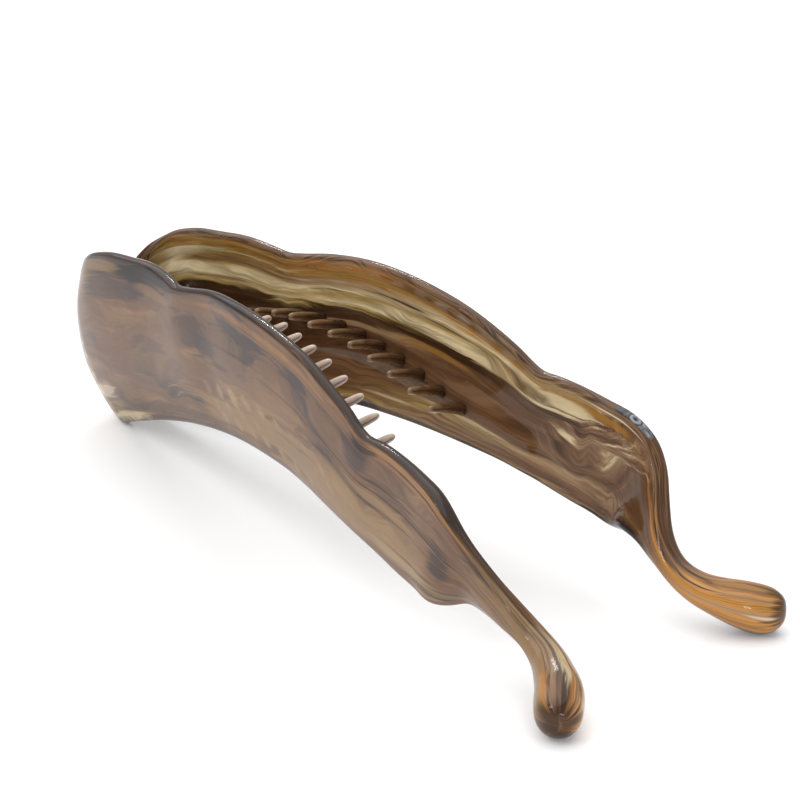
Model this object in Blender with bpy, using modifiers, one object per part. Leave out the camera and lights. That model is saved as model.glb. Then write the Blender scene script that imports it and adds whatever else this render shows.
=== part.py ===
"""An open banana hair clip: two scalloped plastic arms with comb teeth, on one hinge pin.

X runs along the clip to its tails, Y from the front arm to the rear arm, Z up.
The clip stands on the lower corners of its far end and on both tail tips.
"""

from collections import namedtuple

import bmesh
import bpy
import numpy as np
from mathutils import Matrix, Vector

MM = 0.001

# Driving dimensions, in metres
LENGTH = 0.138  # far end to tail tips
RING_STEP = 0.0027  # spacing of the sections along an arm
EDGE_RADIUS = 0.0005  # rounding of the rim and of the lower edge
WALL_BULGE = 0.0010  # how far the wall bows outwards between its edges
BAND_HEIGHT = 0.0006  # raised band that the teeth grow from
UPPER_THINNING = 0.0004  # the wall above the crease is this much thinner inside

TOOTH_COUNT = 13
TOOTH_PITCH = 0.0042
LAST_TIP_X = 0.0736  # tip of the tooth nearest the tail, on the front arm
TOOTH_LEAN = 0.0036  # a tip is this far towards the tail from its root
TOOTH_RISE = 0.0046  # a tip is this far above its root
TOOTH_REACH = 0.0114  # from the wall to the tip, across the clip
TOOTH_RADII = (0.0012, 0.00104, 0.00092, 0.0008, 0.00054)
KNEE_OUT, KNEE_UP = 0.45, 0.58  # where a tooth bends, as shares of its reach and of its rise
SHORTER_BEFORE = 0.045  # teeth nearer the hinge than this get shorter
SHORTENING = 0.0021  # by this much over SHORTENING_LENGTH
SHORTENING_LENGTH = 0.022

MIDDLE_X = 0.0596  # the clip's middle from its far end's foot, where all X values here start
HINGE_X = -0.0010
PIN_RADIUS = 0.0009
PIN_HEAD_RADIUS = 0.0016
PIN_HEAD = 0.0006
BARREL_RADIUS = 0.0024
LUG_WIDTH = 0.0030
CLEARANCE = 0.0003  # between knuckles, along the pin
PIN_PLAY = 0.0001  # round the pin
KNUCKLES_FRONT = ((0.0080, 0.0130), (0.0200, 0.0250))  # lower and upper ends
KNUCKLE_REAR = (0.0133, 0.0197)

# One section of an arm, in millimetres: its edge on the rim, its edge on the head side, and its shape.
# wall and rim are thicknesses, bow pushes the middle of the section to the far end, pad widens the rim
# inwards, and blend goes from 0 for a flat wall to 1 for a round bar.
Section = namedtuple(
    "Section", "x_top y_top z_top x_low y_low z_low wall rim bow root crease pad blend"
)
SECTIONS = [
    # hinge end, curled in to the middle
    Section(-3.9, 2.0, 22.9, -1.5, 1.6, 1.9, 1.2, 1.2, 5.7, 0.60, 0.72, 0, 0),
    Section(-4.0, 3.2, 24.5, -1.2, 1.8, 0.5, 2.0, 2.2, 5.7, 0.60, 0.72, 0, 0),
    Section(-3.0, 5.8, 28.8, 0.9, 2.7, 0.1, 2.0, 2.1, 5.4, 0.60, 0.72, 0, 0),
    Section(0.5, 7.9, 32.5, 4.3, 3.6, 1.6, 2.0, 2.1, 4.5, 0.60, 0.72, 0, 0),
    Section(6.3, 9.0, 34.9, 10.0, 4.7, 4.0, 2.0, 2.1, 3.6, 0.60, 0.72, 0, 0),
    # first scallop, to the first notch
    Section(13.9, 9.5, 36.1, 16.0, 5.7, 6.4, 2.0, 2.1, 2.2, 0.60, 0.72, 0, 0),
    Section(21.0, 10.0, 36.8, 22.5, 6.9, 8.7, 2.0, 2.1, 1.2, 0.60, 0.72, 0, 0),
    Section(26.5, 10.9, 36.3, 27.5, 7.8, 10.3, 2.0, 2.1, 0.8, 0.60, 0.71, 0, 0),
    Section(29.2, 11.5, 35.9, 30.5, 8.3, 11.1, 2.0, 2.1, 0.6, 0.60, 0.70, 0, 0),
    # second scallop, over the visible teeth, to the second notch
    Section(32.0, 11.8, 36.4, 33.3, 8.8, 11.8, 2.0, 2.1, 0.5, 0.60, 0.69, 0, 0),
    Section(39.0, 12.4, 38.0, 39.5, 9.8, 13.0, 2.0, 2.1, 0.4, 0.59, 0.67, 0, 0),
    Section(47.0, 13.8, 38.7, 47.0, 11.2, 14.1, 2.0, 2.1, 0.4, 0.56, 0.65, 0, 0),
    Section(54.0, 14.7, 38.4, 53.5, 12.1, 14.3, 2.0, 2.1, 0.4, 0.52, 0.64, 0, 0),
    Section(60.5, 15.4, 37.5, 59.5, 13.0, 14.2, 2.0, 2.1, 0.3, 0.46, 0.64, 0, 0),
    Section(67.0, 16.1, 36.0, 65.5, 14.1, 13.7, 2.0, 2.1, 0.3, 0.39, 0.66, 0, 0),
    Section(72.5, 16.8, 33.9, 71.0, 15.2, 13.0, 2.0, 2.1, 0.2, 0.33, 0.70, 0, 0),
    Section(77.5, 17.3, 31.6, 76.0, 16.1, 12.3, 2.0, 2.1, 0.2, 0.30, 0.73, 0, 0),
    Section(80.6, 17.7, 29.7, 80.0, 16.6, 11.6, 2.0, 2.1, 0.2, 0.30, 0.75, 0, 0),
    Section(82.4, 17.8, 29.1, 82.5, 16.9, 11.2, 2.0, 2.1, 0.2, 0.30, 0.76, 0, 0),
    # third scallop, with the flat pad on its rim
    Section(85.0, 17.9, 29.2, 85.3, 17.2, 10.6, 2.0, 2.1, 0.2, 0.30, 0.78, 0, 0),
    Section(90.0, 18.4, 28.8, 89.5, 17.7, 9.7, 2.0, 2.1, 0.2, 0.30, 0.80, 0, 0),
    Section(95.0, 19.2, 27.8, 93.5, 18.1, 9.0, 2.0, 2.3, 0, 0.30, 0.82, 0.1, 0),
    Section(99.5, 20.1, 26.5, 96.8, 18.3, 8.2, 2.1, 2.4, 0, 0.30, 0.82, 0.3, 0),
    Section(102.8, 20.5, 24.2, 99.1, 17.5, 8.6, 2.2, 2.4, 0, 0.30, 0.82, 0.2, 0),
    Section(105.6, 19.6, 20.9, 102.0, 15.9, 9.8, 2.4, 2.3, 0, 0.30, 0.82, 0, 0),
    # neck, closing to a round bar
    Section(107.9, 17.8, 16.9, 105.5, 15.4, 9.2, 3.0, 3.0, 0, 0.30, 0.80, 0, 0.4),
    Section(110.2, 16.0, 13.2, 108.9, 15.0, 7.7, 4.0, 4.0, 0, 0.30, 0.80, 0, 0.8),
    Section(113.5, 15.0, 10.1, 112.1, 15.0, 6.5, 4.6, 4.6, 0, 0.30, 0.80, 0, 1),
    # finger tail, turning outwards to a round tip
    Section(118.1, 15.7, 8.5, 116.5, 15.7, 3.9, 5.4, 5.4, 0, 0.30, 0.80, 0, 1),
    Section(120.6, 17.3, 8.2, 119.6, 17.1, 2.3, 6.2, 6.2, 0, 0.30, 0.80, 0, 1),
    Section(122.9, 19.0, 8.1, 122.3, 18.9, 0.8, 7.0, 7.0, 0, 0.30, 0.80, 0, 1),
    Section(124.8, 21.1, 7.5, 124.3, 21.1, -0.2, 7.0, 7.0, 0, 0.30, 0.80, 0, 1),
    Section(126.5, 22.9, 6.5, 126.2, 22.9, 0.4, 5.6, 5.6, 0, 0.30, 0.80, 0, 1),
    Section(127.4, 23.9, 5.1, 127.1, 23.9, 1.9, 2.6, 2.6, 0, 0.30, 0.80, 0, 1),
]

# Line that the tooth tips follow, in millimetres
TipRow = namedtuple("TipRow", "x z")
TIP_ROW = [
    TipRow(20.0, 26.4),
    TipRow(30.0, 28.6),
    TipRow(35.8, 29.9),
    TipRow(40.0, 30.8),
    TipRow(48.0, 30.5),
    TipRow(56.4, 29.0),
    TipRow(64.6, 26.2),
    TipRow(73.0, 22.6),
    TipRow(79.0, 19.6),
]
BAND_FROM, BAND_TO = 0.012, 0.082  # stretch of the wall that has the band, along X


def clear_scene():
    for obj in list(bpy.data.objects):
        bpy.data.objects.remove(obj, do_unlink=True)


def make_collection(name):
    collection = bpy.data.collections.new(name)
    bpy.context.scene.collection.children.link(collection)
    return collection


def make_material(name, colour, roughness, metallic=0.0):
    material = bpy.data.materials.new(name)
    material.use_nodes = True
    shader = material.node_tree.nodes["Principled BSDF"]
    shader.inputs["Base Color"].default_value = (*colour, 1.0)
    shader.inputs["Roughness"].default_value = roughness
    shader.inputs["Metallic"].default_value = metallic
    return material


def move_to(obj, collection):
    for old in list(obj.users_collection):
        old.objects.unlink(obj)
    collection.objects.link(obj)


def as_cutter(obj, collection):
    move_to(obj, collection)
    obj.hide_render = True
    obj.display_type = "WIRE"
    return obj


def join_by(obj, other, operation):
    modifier = obj.modifiers.new(other.name, "BOOLEAN")
    modifier.operation = operation
    modifier.solver = "EXACT"
    modifier.object = other


# Sections of the arm


def smooth_rows(stops, rows, at):
    """Values at the distances in at, on a smooth curve through the rows, which lie at the distances in stops."""
    slopes = np.gradient(rows, stops, axis=0)
    index = np.clip(np.searchsorted(stops, at, side="right") - 1, 0, len(stops) - 2)
    span = (stops[index + 1] - stops[index])[:, None]
    t = (at - stops[index])[:, None] / span
    here, there = rows[index], rows[index + 1]
    return (
        (2 * t**3 - 3 * t**2 + 1) * here
        + (t**3 - 2 * t**2 + t) * span * slopes[index]
        + (3 * t**2 - 2 * t**3) * there
        + (t**3 - t**2) * span * slopes[index + 1]
    )


def smooth_sections():
    """The sections, with more of them worked out between the named ones."""
    rows = np.array(SECTIONS, float)
    middles = (rows[:, 0:3] + rows[:, 3:6]) / 2 * MM
    stops = np.concatenate([[0], np.cumsum(np.linalg.norm(np.diff(middles, axis=0), axis=1))])
    at = []
    for start, end in zip(stops[:-1], stops[1:]):
        steps = max(1, round((end - start) / RING_STEP))
        at.extend(np.linspace(start, end, steps, endpoint=False))
    at.append(stops[-1])
    smooth = smooth_rows(stops, rows, np.array(at))
    smooth[:, :9] *= MM
    smooth[:, 11] *= MM
    return [Section(*row) for row in smooth]


def heights_and_depths(section):
    """Fractions of the height, and the outer and inner half thicknesses there."""
    low = Vector(section[3:6])
    height = (Vector(section[0:3]) - low).length
    edge = EDGE_RADIUS / height
    root, crease = section.root, section.crease
    half = section.wall / 2
    thin = half - UPPER_THINNING
    rim = section.rim - half + section.pad
    banded = BAND_FROM < section.x_low < BAND_TO
    band = half + (BAND_HEIGHT if banded else 0)
    wall = [
        (0, half - EDGE_RADIUS, half - EDGE_RADIUS),
        (edge, half, half),
        (0.3 * root, half, half),
        (0.55 * root, half, half),
        (0.62 * root, half, band),
        (0.8 * root, half, band),
        (root + 0.04, half, band),
        (root + 0.08, half, half),
        (crease + 0.03, half, half),
        (crease + 0.06, half, thin),
        (0.91, half, thin),
        (0.94, half, rim),
        (1 - edge, half, rim),
        (1, half - EDGE_RADIUS, rim - EDGE_RADIUS),
    ]
    angles = np.radians(np.linspace(-80, 80, len(wall)))
    bar = [((1 + np.sin(a)) / 2, half * np.cos(a), half * np.cos(a)) for a in angles]
    return (1 - section.blend) * np.array(wall) + section.blend * np.array(bar)


def middle_surface(sections, heights):
    """Points halfway through the wall, one row a section."""
    rows = []
    for section, row in zip(sections, heights):
        top, low = np.array(section[0:3]), np.array(section[3:6])
        arch = 4 * row * (1 - row)
        points = low + np.outer(row, top - low)
        points[:, 0] -= section.bow * arch
        points[:, 1] += WALL_BULGE * (1 - section.blend) * arch
        rows.append(points)
    return np.array(rows)


def arm_surfaces():
    """Middle, outer and inner points of the arm on the +Y side."""
    sections = smooth_sections()
    shape = np.array([heights_and_depths(section) for section in sections])
    middle = middle_surface(sections, shape[:, :, 0])
    along = np.gradient(middle, axis=0)
    up = np.gradient(middle, axis=1)
    normal = np.cross(up, along)
    normal /= np.linalg.norm(normal, axis=2, keepdims=True)
    outer = middle + normal * shape[:, :, 1:2]
    inner = middle - normal * shape[:, :, 2:3]
    return middle, outer, inner


def arm_body(name, side):
    """Shell, rim and tail of an arm as one closed loft. side is 1 for the rear arm and -1 for the front arm."""
    _, outer, inner = arm_surfaces()
    count = outer.shape[1]
    mesh = bmesh.new()
    rings = []
    for outside, inside in zip(outer, inner):
        ring = list(outside) + list(inside[::-1])
        rings.append([mesh.verts.new((p[0], side * p[1], p[2])) for p in ring])
    size = len(rings[0])
    for here, there in zip(rings[:-1], rings[1:]):
        for i in range(size):
            j = (i + 1) % size
            mesh.faces.new((here[i], here[j], there[j], there[i]))
    for ring in (rings[0], rings[-1]):
        for i in range(count - 1):
            mesh.faces.new((ring[i], ring[i + 1], ring[size - 2 - i], ring[size - 1 - i]))
    bmesh.ops.recalc_face_normals(mesh, faces=mesh.faces)
    data = bpy.data.meshes.new(name)
    mesh.to_mesh(data)
    mesh.free()
    return bpy.data.objects.new(name, data)


# Comb teeth


def tooth_path(middle, x_tip, side):
    """Root, three points between and tip of one tooth."""
    row = np.array(TIP_ROW) * MM
    z_tip = smooth_rows(row[:, 0], row[:, 1:], np.array([x_tip]))[0, 0]
    x_root, z_root = x_tip - TOOTH_LEAN, z_tip - TOOTH_RISE
    points = middle.reshape(-1, 3)
    near = np.argsort(np.hypot(points[:, 0] - x_root, points[:, 2] - z_root))[:3]
    y_root = points[near, 1].mean()
    short = np.clip((SHORTER_BEFORE - x_tip) / SHORTENING_LENGTH, 0, 1) * SHORTENING
    root = Vector((x_root, y_root, z_root))
    tip = Vector((x_tip, y_root - TOOTH_REACH + short, z_tip))
    knee = root + Vector((KNEE_OUT * TOOTH_LEAN, -KNEE_OUT * TOOTH_REACH, KNEE_UP * TOOTH_RISE))
    path = []
    for step in range(len(TOOTH_RADII)):
        t = step / (len(TOOTH_RADII) - 1)
        point = root * (1 - t) ** 2 + knee * 2 * t * (1 - t) + tip * t**2
        path.append(Vector((point.x, side * point.y, point.z)))
    return path


def comb_teeth(name, side, last_tip, collection):
    """All the teeth of one arm, as one mesh of separate bodies."""
    middle, _, _ = arm_surfaces()
    data = bpy.data.curves.new(name, "CURVE")
    data.dimensions = "3D"
    data.bevel_depth = 1.0
    data.bevel_resolution = 2
    data.use_fill_caps = True
    for number in range(TOOTH_COUNT):
        path = tooth_path(middle, last_tip - number * TOOTH_PITCH, side)
        spline = data.splines.new("POLY")
        spline.points.add(len(path) - 1)
        for point, place, radius in zip(spline.points, path, TOOTH_RADII):
            point.co = (*place, 1)
            point.radius = radius
    curve = bpy.data.objects.new(name + "_curve", data)
    collection.objects.link(curve)
    return mesh_of_curve(curve, name, collection)


def mesh_of_curve(curve, name, collection):
    """Welds a curve's caps and turns it into a mesh object."""
    bpy.context.view_layer.update()
    graph = bpy.context.evaluated_depsgraph_get()
    data = bpy.data.meshes.new_from_object(curve.evaluated_get(graph))
    mesh = bmesh.new()
    mesh.from_mesh(data)
    bmesh.ops.remove_doubles(mesh, verts=mesh.verts, dist=0.00001)
    bmesh.ops.recalc_face_normals(mesh, faces=mesh.faces)
    mesh.to_mesh(data)
    mesh.free()
    obj = bpy.data.objects.new(name, data)
    obj.matrix_world = curve.matrix_world.copy()
    bpy.data.objects.remove(curve, do_unlink=True)
    collection.objects.link(obj)
    return obj


# Hinge


def upright_cylinder(name, x, z_low, z_high, radius, sides=32):
    middle = (x, 0, (z_low + z_high) / 2)
    bpy.ops.mesh.primitive_cylinder_add(
        vertices=sides, radius=radius, depth=z_high - z_low, location=middle
    )
    obj = bpy.context.object
    obj.name = name
    return obj


def box(name, low, high):
    bpy.ops.mesh.primitive_cube_add(size=1, location=(Vector(low) + Vector(high)) / 2)
    obj = bpy.context.object
    obj.name = name
    obj.scale = Vector(high) - Vector(low)
    bpy.context.view_layer.update()
    obj.data.transform(Matrix.Diagonal((*obj.scale, 1)))
    obj.scale = (1, 1, 1)
    return obj


def wall_depth(z):
    """Distance of the wall's middle from the clip's middle plane, beside the hinge."""
    middle, _, _ = arm_surfaces()
    points = middle[:12].reshape(-1, 3)
    near = np.argsort(np.hypot(points[:, 0] - HINGE_X, points[:, 2] - z))[:4]
    return points[near, 1].mean()


def add_knuckle(arm, side, z_low, z_high, cutters):
    """A barrel round the pin and the lug that carries it on the arm's inner face."""
    label = f"{arm.name}_z{round(z_low / MM)}"
    barrel = upright_cylinder(f"barrel_{label}", HINGE_X, z_low, z_high, BARREL_RADIUS)
    reach = wall_depth((z_low + z_high) / 2)
    ends = sorted((0, side * reach))
    lug = box(
        f"lug_{label}",
        (HINGE_X - LUG_WIDTH / 2, ends[0], z_low),
        (HINGE_X + LUG_WIDTH / 2, ends[1], z_high),
    )
    for piece in (lug, barrel):
        as_cutter(piece, cutters)
        join_by(arm, piece, "UNION")


def hinge_pin(collection, material):
    """A shaft with a flat head at each end, turned about the hinge axis."""
    low = KNUCKLES_FRONT[0][0] - CLEARANCE - PIN_HEAD
    high = KNUCKLES_FRONT[1][1] + CLEARANCE + PIN_HEAD
    profile = [
        (0, high),
        (PIN_HEAD_RADIUS, high),
        (PIN_HEAD_RADIUS, high - PIN_HEAD),
        (PIN_RADIUS, high - PIN_HEAD),
        (PIN_RADIUS, low + PIN_HEAD),
        (PIN_HEAD_RADIUS, low + PIN_HEAD),
        (PIN_HEAD_RADIUS, low),
        (0, low),
    ]
    data = bpy.data.meshes.new("hinge_pin")
    edges = [(i, i + 1) for i in range(len(profile) - 1)]
    data.from_pydata([(r, 0, z) for r, z in profile], edges, [])
    pin = bpy.data.objects.new("hinge_pin", data)
    pin.location = (HINGE_X, 0, 0)
    screw = pin.modifiers.new("turn", "SCREW")
    screw.axis = "Z"
    screw.steps = 32
    screw.render_steps = 32
    screw.use_merge_vertices = True
    screw.merge_threshold = 0.00001
    pin.data.materials.append(material)
    collection.objects.link(pin)
    return pin


# Arms


def make_arm(name, side, last_tip, knuckles, shared):
    """One whole moulding: shell and tail, teeth, knuckles, and flats where it stands."""
    parts, cutters, material, pin_hole, table = shared
    arm = arm_body(name, side)
    parts.objects.link(arm)
    teeth = as_cutter(comb_teeth(f"teeth_{name}", side, last_tip, cutters), cutters)
    join_by(arm, teeth, "UNION")
    for z_low, z_high in knuckles:
        add_knuckle(arm, side, z_low, z_high, cutters)
    join_by(arm, pin_hole, "DIFFERENCE")
    join_by(arm, table, "DIFFERENCE")
    arm.data.materials.append(material)
    arm.data.shade_smooth()
    arm.data.set_sharp_from_angle(angle=np.radians(40))
    return arm


def set_origin(obj, place):
    """Moves the object's origin without moving its shape."""
    obj.data.transform(Matrix.Translation(-Vector(place)))
    obj.location = place


def main():
    clear_scene()
    parts = make_collection("banana_hair_clip")
    cutters = make_collection("cutters")
    horn = make_material("marbled_horn_plastic", (0.19, 0.115, 0.06), 0.18)
    steel = make_material("hinge_steel", (0.55, 0.55, 0.56), 0.3, 1.0)

    bore = PIN_RADIUS + PIN_PLAY
    pin_hole = as_cutter(upright_cylinder("pin_hole", HINGE_X, 0.005, 0.028, bore), cutters)
    table = as_cutter(box("table", (-0.02, -0.05, -0.01), (LENGTH + 0.01, 0.05, 0)), cutters)
    shared = (parts, cutters, horn, pin_hole, table)

    front = make_arm("arm_front", -1, LAST_TIP_X, KNUCKLES_FRONT, shared)
    rear = make_arm("arm_rear", 1, LAST_TIP_X - TOOTH_PITCH / 2, (KNUCKLE_REAR,), shared)
    for arm in (front, rear):
        set_origin(arm, (HINGE_X, 0, 0))
    hinge_pin(parts, steel)
    for obj in list(parts.objects) + list(cutters.objects):
        obj.location.x -= MIDDLE_X


main()
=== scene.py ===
import math

import bmesh
import bpy
import numpy as np
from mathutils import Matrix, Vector


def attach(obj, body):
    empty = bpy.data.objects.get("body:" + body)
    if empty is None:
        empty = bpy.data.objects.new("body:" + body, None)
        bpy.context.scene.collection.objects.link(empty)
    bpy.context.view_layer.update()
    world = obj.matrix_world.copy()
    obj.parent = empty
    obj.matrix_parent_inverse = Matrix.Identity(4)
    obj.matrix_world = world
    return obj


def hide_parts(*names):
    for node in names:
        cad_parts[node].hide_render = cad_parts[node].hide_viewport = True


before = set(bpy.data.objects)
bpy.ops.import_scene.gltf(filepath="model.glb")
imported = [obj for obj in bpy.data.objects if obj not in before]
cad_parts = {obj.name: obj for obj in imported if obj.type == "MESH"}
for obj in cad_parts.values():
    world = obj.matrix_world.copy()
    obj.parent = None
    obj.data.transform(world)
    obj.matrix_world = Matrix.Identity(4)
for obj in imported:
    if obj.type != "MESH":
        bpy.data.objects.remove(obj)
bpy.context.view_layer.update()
print("frame loaded:", sorted(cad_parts))

mm = 0.001
middleX = 59.6  # the tables count X from the far end's foot, the frame from the clip's middle
plasticIor = 1.47

# camera, where the photo was taken from
cameraSettings = {
    "place": (252.3, -220.5, 167.4),  # mm
    "elevation": 23.42,
    "turn": 47.7,
    "lens": 105.12,
}


def placeCamera(settings):
    data = bpy.data.cameras.new("camera")
    data.lens = settings["lens"]
    data.sensor_width = 36
    data.clip_start = 0.01
    data.clip_end = 20
    camera = bpy.data.objects.new("camera", data)
    bpy.context.scene.collection.objects.link(camera)
    camera.location = Vector(settings["place"]) * mm
    elevation = math.radians(settings["elevation"])
    turn = math.radians(settings["turn"])
    flat = math.cos(elevation)
    back = Vector((math.sin(turn) * flat, -math.cos(turn) * flat, math.sin(elevation)))
    camera.rotation_mode = "QUATERNION"
    camera.rotation_quaternion = back.to_track_quat("Z", "Y")
    bpy.context.scene.camera = camera


placeCamera(cameraSettings)


# colours as seen on a screen, 0 to 255
def paint(red, green, blue):
    return tuple(((v / 255 + 0.055) / 1.055) ** 2.4 for v in (red, green, blue)) + (1.0,)


def startMaterial(name):
    material = bpy.data.materials.new(name)
    material.use_nodes = True
    return material, material.node_tree


def put(tree, socket, value):
    if isinstance(value, bpy.types.NodeSocket):
        tree.links.new(value, socket)
    else:
        socket.default_value = value


def calc(tree, operation, first, second=0.0):
    node = tree.nodes.new("ShaderNodeMath")
    node.operation = operation
    put(tree, node.inputs[0], first)
    put(tree, node.inputs[1], second)
    return node.outputs[0]


def plus(tree, first, second):
    return calc(tree, "ADD", first, second)


def minus(tree, first, second):
    return calc(tree, "SUBTRACT", first, second)


def times(tree, *values):
    result = values[0]
    for value in values[1:]:
        result = calc(tree, "MULTIPLY", result, value)
    return result


def spread(tree, value, amount):  # a pattern of 0 to 1 as a push of half the amount to either side
    return times(tree, minus(tree, value, 0.5), amount)


def vectorCalc(tree, operation, first, second=None):
    node = tree.nodes.new("ShaderNodeVectorMath")
    node.operation = operation
    put(tree, node.inputs[0], first)
    if second is not None:
        put(tree, node.inputs[1], second)
    return node.outputs["Value" if operation == "LENGTH" else "Vector"]


def rise(tree, value, start, end, low=0.0, high=1.0):  # smooth step, falling where start is above end
    node = tree.nodes.new("ShaderNodeMapRange")
    node.interpolation_type = "SMOOTHSTEP"
    put(tree, node.inputs["Value"], value)
    turned = start > end
    node.inputs["From Min"].default_value = min(start, end)
    node.inputs["From Max"].default_value = max(start, end)
    node.inputs["To Min"].default_value = high if turned else low
    node.inputs["To Max"].default_value = low if turned else high
    return node.outputs[0]


def mixed(tree, share, below, above):
    node = tree.nodes.new("ShaderNodeMix")
    node.data_type = "RGBA"
    put(tree, node.inputs["Factor"], share)
    put(tree, node.inputs[6], below)
    put(tree, node.inputs[7], above)
    return node.outputs[2]


def shaded(tree, colour, value):  # the colour made lighter or darker
    node = tree.nodes.new("ShaderNodeHueSaturation")
    put(tree, node.inputs["Color"], colour)
    put(tree, node.inputs["Value"], value)
    return node.outputs["Color"]


def ramp(tree, value, stops):
    node = tree.nodes.new("ShaderNodeValToRGB")
    put(tree, node.inputs["Fac"], value)
    points = node.color_ramp.elements
    for point, (position, colour) in zip((points[0], points[-1]), (stops[0], stops[-1])):
        point.position = position
        point.color = colour
    for position, colour in stops[1:-1]:
        points.new(position).color = colour
    return node.outputs["Color"]


def joinVector(tree, x, y, z=0.0):
    node = tree.nodes.new("ShaderNodeCombineXYZ")
    for socket, value in zip(node.inputs, (x, y, z)):
        put(tree, socket, value)
    return node.outputs[0]


def noise(tree, vector, detail=4.0, rough=0.55, bend=0.0):
    node = tree.nodes.new("ShaderNodeTexNoise")
    put(tree, node.inputs["Vector"], vector)
    node.inputs["Scale"].default_value = 1.0
    node.inputs["Detail"].default_value = detail
    node.inputs["Roughness"].default_value = rough
    node.inputs["Distortion"].default_value = bend
    return node.outputs["Fac"]


def attribute(tree, name):
    node = tree.nodes.new("ShaderNodeAttribute")
    node.attribute_name = name
    return node.outputs["Fac"]


def stretchedPlace(tree, scale):  # object coordinates, scaled
    node = tree.nodes.new("ShaderNodeMapping")
    node.inputs["Scale"].default_value = scale
    tree.links.new(tree.nodes.new("ShaderNodeTexCoord").outputs["Object"], node.inputs["Vector"])
    return node.outputs[0]


def bump(tree, height, strength, distance):
    node = tree.nodes.new("ShaderNodeBump")
    node.inputs["Strength"].default_value = strength
    node.inputs["Distance"].default_value = distance
    put(tree, node.inputs["Height"], height)
    return node.outputs["Normal"]


# One row is a section of an arm, in mm: top edge, low edge, wall, rim, bow to the far end, level of the
# band's top, level of the crease, extra rim at the pad, and 0 for a wall to 1 for a round bar.
armRows = [
    (-3.9, 2.0, 22.9, -1.5, 1.6, 1.9, 1.2, 1.2, 5.7, 0.60, 0.72, 0, 0),
    (-4.0, 3.2, 24.5, -1.2, 1.8, 0.5, 2.0, 2.2, 5.7, 0.60, 0.72, 0, 0),
    (-3.0, 5.8, 28.8, 0.9, 2.7, 0.1, 2.0, 2.1, 5.4, 0.60, 0.72, 0, 0),
    (0.5, 7.9, 32.5, 4.3, 3.6, 1.6, 2.0, 2.1, 4.5, 0.60, 0.72, 0, 0),
    (6.3, 9.0, 34.9, 10.0, 4.7, 4.0, 2.0, 2.1, 3.6, 0.60, 0.72, 0, 0),
    (13.9, 9.5, 36.1, 16.0, 5.7, 6.4, 2.0, 2.1, 2.2, 0.60, 0.72, 0, 0),
    (21.0, 10.0, 36.8, 22.5, 6.9, 8.7, 2.0, 2.1, 1.2, 0.60, 0.72, 0, 0),
    (26.5, 10.9, 36.3, 27.5, 7.8, 10.3, 2.0, 2.1, 0.8, 0.60, 0.71, 0, 0),
    (29.2, 11.5, 35.9, 30.5, 8.3, 11.1, 2.0, 2.1, 0.6, 0.60, 0.70, 0, 0),
    (32.0, 11.8, 36.4, 33.3, 8.8, 11.8, 2.0, 2.1, 0.5, 0.60, 0.69, 0, 0),
    (39.0, 12.4, 38.0, 39.5, 9.8, 13.0, 2.0, 2.1, 0.4, 0.59, 0.67, 0, 0),
    (47.0, 13.8, 38.7, 47.0, 11.2, 14.1, 2.0, 2.1, 0.4, 0.56, 0.65, 0, 0),
    (54.0, 14.7, 38.4, 53.5, 12.1, 14.3, 2.0, 2.1, 0.4, 0.52, 0.64, 0, 0),
    (60.5, 15.4, 37.5, 59.5, 13.0, 14.2, 2.0, 2.1, 0.3, 0.46, 0.64, 0, 0),
    (67.0, 16.1, 36.0, 65.5, 14.1, 13.7, 2.0, 2.1, 0.3, 0.39, 0.66, 0, 0),
    (72.5, 16.8, 33.9, 71.0, 15.2, 13.0, 2.0, 2.1, 0.2, 0.33, 0.70, 0, 0),
    (77.5, 17.3, 31.6, 76.0, 16.1, 12.3, 2.0, 2.1, 0.2, 0.30, 0.73, 0, 0),
    (80.6, 17.7, 29.7, 80.0, 16.6, 11.6, 2.0, 2.1, 0.2, 0.30, 0.75, 0, 0),
    (82.4, 17.8, 29.1, 82.5, 16.9, 11.2, 2.0, 2.1, 0.2, 0.30, 0.76, 0, 0),
    (85.0, 17.9, 29.2, 85.3, 17.2, 10.6, 2.0, 2.1, 0.2, 0.30, 0.78, 0, 0),
    (90.0, 18.4, 28.8, 89.5, 17.7, 9.7, 2.0, 2.1, 0.2, 0.30, 0.80, 0, 0),
    (95.0, 19.2, 27.8, 93.5, 18.1, 9.0, 2.0, 2.3, 0, 0.30, 0.82, 0.1, 0),
    (99.5, 20.1, 26.5, 96.8, 18.3, 8.2, 2.1, 2.4, 0, 0.30, 0.82, 0.3, 0),
    (102.8, 20.5, 24.2, 99.1, 17.5, 8.6, 2.2, 2.4, 0, 0.30, 0.82, 0.2, 0),
    (105.6, 19.6, 20.9, 102.0, 15.9, 9.8, 2.4, 2.3, 0, 0.30, 0.82, 0, 0),
    (107.9, 17.8, 16.9, 105.5, 15.4, 9.2, 3.0, 3.0, 0, 0.30, 0.80, 0, 0.4),
    (110.2, 16.0, 13.2, 108.9, 15.0, 7.7, 4.0, 4.0, 0, 0.30, 0.80, 0, 0.8),
    (113.5, 15.0, 10.1, 112.1, 15.0, 6.5, 4.6, 4.6, 0, 0.30, 0.80, 0, 1),
    (118.1, 15.7, 8.5, 116.5, 15.7, 3.9, 5.4, 5.4, 0, 0.30, 0.80, 0, 1),
    (120.6, 17.3, 8.2, 119.6, 17.1, 2.3, 6.2, 6.2, 0, 0.30, 0.80, 0, 1),
    (122.9, 19.0, 8.1, 122.3, 18.9, 0.8, 7.0, 7.0, 0, 0.30, 0.80, 0, 1),
    (124.8, 21.1, 7.5, 124.3, 21.1, -0.2, 7.0, 7.0, 0, 0.30, 0.80, 0, 1),
    (126.5, 22.9, 6.5, 126.2, 22.9, 0.4, 5.6, 5.6, 0, 0.30, 0.80, 0, 1),
    (127.4, 23.9, 5.1, 127.1, 23.9, 1.9, 2.6, 2.6, 0, 0.30, 0.80, 0, 1),
]
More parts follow.
